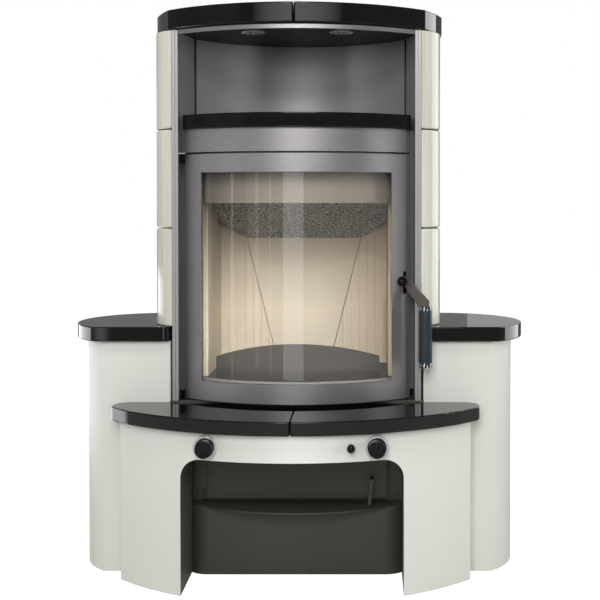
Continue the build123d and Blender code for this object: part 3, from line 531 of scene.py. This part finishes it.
# Its run: a rectangle with small round corners, set out flat and then laid on the channel's bow.
half_run, run_low, run_high, corner_radius = 0.2185, 0.4265, 0.9125, 0.008
channel_radius, lay_step, twist_per_step = 0.3773, 0.006, 0.55
right, top, bottom = half_run - corner_radius, run_high - corner_radius, run_low + corner_radius
outline = []
for centre_x, centre_z, first in ((right, top, 0), (-right, top, 90),
                                  (-right, bottom, 180), (right, bottom, 270)):
    for step in range(5):
        bearing = radians(first + 22.5 * step)
        outline.append((centre_x + corner_radius * cos(bearing), centre_z + corner_radius * sin(bearing)))
laid = []
for start, end in zip(outline, outline[1:] + outline[:1]):
    span = sqrt((end[0] - start[0]) ** 2 + (end[1] - start[1]) ** 2)
    lays = max(1, round(span / lay_step))
    for step in range(lays):
        share = step / lays
        laid.append((start[0] + share * (end[0] - start[0]), start[1] + share * (end[1] - start[1])))
rope_data = bpy.data.curves.new("seal_rope", "CURVE")
rope_data.dimensions = "3D"
rope_data.bevel_mode = "OBJECT"
rope_data.bevel_object = strand
run = rope_data.splines.new("POLY")
run.points.add(len(laid) - 1)
for i, (point, (x, z)) in enumerate(zip(run.points, laid)):
    point.co = (x, door_axis_y - sqrt(channel_radius ** 2 - x ** 2), z, 1)
    point.tilt = twist_per_step * i
run.use_cyclic_u = True
seal = bpy.data.objects.new("seal_rope", rope_data)
bpy.context.scene.collection.objects.link(seal)
bpy.ops.object.select_all(action="DESELECT")
bpy.context.view_layer.objects.active = seal
seal.select_set(True)
bpy.ops.object.convert(target="MESH")
seal = bpy.context.object
bpy.data.objects.remove(strand)
settle(seal, "door", rope, smooth=60)
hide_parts("door_seal")


# The air deflector behind the top of the pane is heat-stained sheet, hooked into the firebox. Its
# coat is a warm grey that darkens towards its upper edge.
burnt = Finish("burnt_sheet")
near_top = burnt.ramp(burnt.axis("Z"), 0.868, 0.905)
stain = burnt.noise(8.0, 3.0, (1, 1, 0.5))
burnt.surface(
    Base_Color=burnt.mix(near_top * 0.7 + stain * 0.3, srgb(130, 124, 116), srgb(74, 70, 66)),
    Metallic=0.3,
    Roughness=0.45,
    Normal=burnt.bump(stain, 0.0005, 0.2))
dress(burnt, "air_deflector")


# Handle pivot, air knobs and the shaker's pull are black: phenolic mouldings, glossy with a trace of
# flow marks, pushed on to their shafts.
moulding = Finish("black_moulding")
flow = moulding.noise(120.0)
moulding.surface(
    Base_Color=moulding.mix(flow, srgb(8, 8, 8), srgb(16, 16, 17)),
    Roughness=0.14 + 0.10 * flow,
    IOR=1.35,
    Normal=moulding.bump(flow, 0.0001, 0.3, 0.0012))
dress(moulding, "handle_pivot", "air_knob_left", "air_knob_right", "shaker_rod")


# The handle arm is a flat steel blade, sheared and bent, with its edges just broken. The heat of the
# stove has blued it.
blade = Finish("blued_blade")
blued = blade.noise(400.0, stretch=(1, 1, 0.1))
blade.surface(
    Base_Color=blade.mix(blued, srgb(104, 98, 96), srgb(132, 124, 121)),
    Metallic=0.6,
    Roughness=0.30 + 0.12 * blued,
    Normal=blade.bump(blued, 0.00004, 0.4, 0.0008))
dress(blade, "handle_arm")


# The grip is a dark blue-black sleeve on the end of the blade, turned from heat-proof plastic with a
# soft shoulder at each end; it hangs upright in front of the right edge of the door.
arm_reach, pivot_z = 0.071, 0.658
grip_x = pivot_x + slot_offset * cos(turn) + arm_reach * sin(turn)
grip_y = pivot_y + slot_offset * sin(turn) - arm_reach * cos(turn)
grip_radius = 0.0150
sleeve_low, sleeve_high = pivot_z - 0.1765, pivot_z - 0.0615


def in_edit(piece):
    """Starts edit mode on one object with nothing selected and gives its mesh."""
    bpy.ops.object.select_all(action="DESELECT")
    bpy.context.view_layer.objects.active = piece
    piece.select_set(True)
    bpy.ops.object.mode_set(mode="EDIT")
    bpy.ops.mesh.select_all(action="DESELECT")
    return bmesh.from_edit_mesh(piece.data)


def turned(name, profile, x, y, steps=48):
    """A closed turned solid on an upright axis: a profile of radius and height is spun round it."""
    mesh = bpy.data.meshes.new(name)
    edges = [(i, i + 1) for i in range(len(profile) - 1)]
    mesh.from_pydata([(radius, 0, height) for radius, height in profile], edges, [])
    piece = bpy.data.objects.new(name, mesh)
    bpy.context.scene.collection.objects.link(piece)
    piece.location = (x, y, 0)
    in_edit(piece)
    bpy.ops.mesh.select_all(action="SELECT")
    bpy.ops.mesh.spin(steps=steps, angle=2 * pi, center=(x, y, 0), axis=(0, 0, 1))
    bpy.ops.mesh.select_all(action="SELECT")
    bpy.ops.mesh.remove_doubles(threshold=0.00001)
    bpy.ops.mesh.normals_make_consistent(inside=False)
    bpy.ops.object.mode_set(mode="OBJECT")
    return piece


sleeve = Finish("sleeve")
turned_marks = sleeve.noise(260.0, stretch=(1, 1, 0.15))
sleeve.surface(
    Base_Color=sleeve.mix(turned_marks, srgb(24, 36, 44), srgb(38, 50, 58)),
    Roughness=0.34 + 0.12 * turned_marks,
    Normal=sleeve.bump(turned_marks, 0.00006, 0.4))
grip = turned("grip_sleeve", [
    (0.0, sleeve_low), (0.0138, sleeve_low), (0.0146, sleeve_low + 0.0008), (grip_radius, sleeve_low + 0.003),
    (grip_radius, sleeve_low + 0.03), (0.01505, (sleeve_low + sleeve_high) / 2),
    (grip_radius, sleeve_high - 0.03), (grip_radius, sleeve_high - 0.003), (0.0146, sleeve_high - 0.0008),
    (0.0138, sleeve_high), (0.0, sleeve_high)], grip_x, grip_y)
settle(grip, "handle", sleeve)
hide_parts("handle_grip")


# Two bright turned caps close the sleeve, each with twelve milled notches, coloured black as painted
# shade in their recesses. The lower one ends the grip, and the upper one sits against the blade.
notches, notch_depth, notch_share = 12, 0.0022, 0.24
notch_floor, notch_edge = 0.0120, 0.01375
notched = Finish("notched_chrome")
cap_x, cap_y = notched.axis("X") - grip_x, notched.axis("Y") - grip_y
from_axis = (cap_x * cap_x + cap_y * cap_y).math("SQRT")
polish = notched.noise(300.0)
# The notch band is coloured black: painted shade in the recesses.
cut = (from_axis < notch_edge) * (from_axis > notch_floor)
notched.surface(
    Base_Color=notched.mix(cut, srgb(232, 233, 235), srgb(14, 14, 14)),
    Metallic=1.0 - 0.9 * cut,
    Roughness=0.08 + 0.06 * polish)
for cap_name, cap_low, cap_high in (("grip_cap_low", sleeve_low - 0.011, sleeve_low),
                                    ("grip_cap_high", sleeve_high, sleeve_high + 0.010)):
    cap = turned(cap_name, [
        (0.0, cap_low), (0.0132, cap_low), (0.0146, cap_low + 0.0006), (grip_radius, cap_low + 0.0016),
        (grip_radius, cap_high - 0.0016), (0.0146, cap_high - 0.0006), (0.0132, cap_high), (0.0, cap_high)],
        grip_x, grip_y, steps=96)
    mesh = in_edit(cap)
    for face in mesh.faces:
        centre = face.calc_center_median()
        in_notches = atan2(centre.y, centre.x) / (2 * pi) * notches
        face.select = face.normal.z ** 2 < 0.3 and abs(in_notches - round(in_notches)) < notch_share
    bmesh.update_edit_mesh(cap.data)
    bpy.ops.mesh.extrude_region_shrink_fatten(TRANSFORM_OT_shrink_fatten={"value": -notch_depth})
    settle(cap, "handle", notched)
    if cap_name == "grip_cap_high":
        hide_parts("handle_caps")


# A raised bar across each air knob shows how far it is turned. It is moulded with the knob, in the
# same black, and has a stepped face and soft edges.
knob_offset, knob_face_y, knob_z = 0.180, -0.2845, 0.324
bar_size = (0.0050, 0.0040, 0.0300)
for side_name, knob_x in (("left", -knob_offset), ("right", knob_offset)):
    bpy.ops.object.select_all(action="DESELECT")
    bpy.ops.mesh.primitive_cube_add(size=1, location=(knob_x, knob_face_y, knob_z))
    bar = bpy.context.object
    bar.name = "knob_bar_" + side_name
    bar.scale = bar_size
    bpy.ops.object.transform_apply(location=False, rotation=False, scale=True)
    mesh = in_edit(bar)
    for face in mesh.faces:
        face.select = face.normal.y < -0.9
    bmesh.update_edit_mesh(bar.data)
    bpy.ops.mesh.inset(thickness=0.0012, depth=0.0010)
    bpy.ops.mesh.select_all(action="SELECT")
    bpy.ops.mesh.bevel(offset=0.0007, segments=3, affect="EDGES")
    settle(bar, "air_knob_" + side_name, moulding)


# The ash door has a folded rim all round, 6 mm wide, which stands a little proud of its flat panel
# and keeps the thin sheet stiff.
rim_width, rim_height, rim_fold, rim_proud = 0.412, 0.121, 0.006, 0.003
bpy.ops.object.select_all(action="DESELECT")
bpy.ops.mesh.primitive_plane_add(size=1, location=(0, -0.045, 0.2225), rotation=(pi / 2, 0, 0))
rim = bpy.context.object
rim.name = "ash_door_rim"
rim.scale = (rim_width, rim_height, 1)
bpy.ops.object.transform_apply(location=False, rotation=False, scale=True)
in_edit(rim)
bpy.ops.mesh.select_all(action="SELECT")
bpy.ops.mesh.inset(thickness=rim_fold, depth=0)
bpy.ops.mesh.delete(type="FACE")
bpy.ops.mesh.select_all(action="SELECT")
bpy.ops.mesh.extrude_region_move(TRANSFORM_OT_translate={"value": (0, -rim_proud, 0)})
bpy.ops.mesh.select_all(action="SELECT")
bpy.ops.mesh.normals_make_consistent(inside=False)
bpy.ops.mesh.bevel(offset=0.0008, segments=2, affect="EDGES")
settle(rim, "ash_door", dark_paint)


# A rolled bead stiffens the end of each round spigot at the back, flue above and fresh air below,
# and centres the pipe that is pushed on.
bead_start_y = 0.288
ridge = [(0.0, 0.0), (0.0006, -0.0016), (0.0018, -0.0022),
         (0.0018, -0.0038), (0.0006, -0.0044), (0.0, -0.006)]
for bead_name, spigot_z, spigot_radius in (("flue_bead", 0.905, 0.074), ("air_bead", 0.270, 0.0495)):
    inside = spigot_radius - 0.0005
    crest = [(spigot_radius + out, drop) for out, drop in ridge]
    band = turned(bead_name, [(inside, 0.0)] + crest + [(inside, -0.006), (inside, 0.0)], 0, 0, steps=72)
    band.rotation_euler = (-pi / 2, 0, 0)
    band.location = (0, bead_start_y, spigot_z)
    settle(band, "stove", dark_paint)


# Button-head screws with a hexagon socket hold the back panel to the side panels, five to a side, and
# two more hold it along its upper edge.
panel_y, column_x, lowest_z, pitch = 0.258, 0.272, 0.42, 0.19
spots = [(side * column_x, lowest_z + pitch * row) for side in (-1, 1) for row in range(5)]
spots += [(-0.1, 1.205), (0.1, 1.205)]
for number, (screw_x, screw_z) in enumerate(spots):
    if number == 0:
        screw = turned("back_screw", [
            (0.0, 0.0), (0.0046, 0.0), (0.0046, 0.0008), (0.0042, 0.0017),
            (0.0032, 0.0024), (0.0018, 0.0027), (0.0, 0.0027)], 0, 0, steps=24)
        mesh = in_edit(screw)
        for face in mesh.faces:
            face.select = face.normal.z > 0.9 and face.calc_center_median().xy.length < 0.0018
        bmesh.update_edit_mesh(screw.data)
        bpy.ops.mesh.extrude_region_move(TRANSFORM_OT_translate={"value": (0, 0, -0.0014)})
        bpy.ops.object.mode_set(mode="OBJECT")
        pattern = screw.data.copy()
    else:
        screw = bpy.data.objects.new("back_screw", pattern.copy())
        bpy.context.scene.collection.objects.link(screw)
    screw.name = "back_screw_%02d" % (number + 1)
    screw.rotation_euler = (-pi / 2, 0, 0)
    screw.location = (screw_x, panel_y, screw_z)
    settle(screw, "stove", bare_steel)
bpy.data.meshes.remove(pattern)
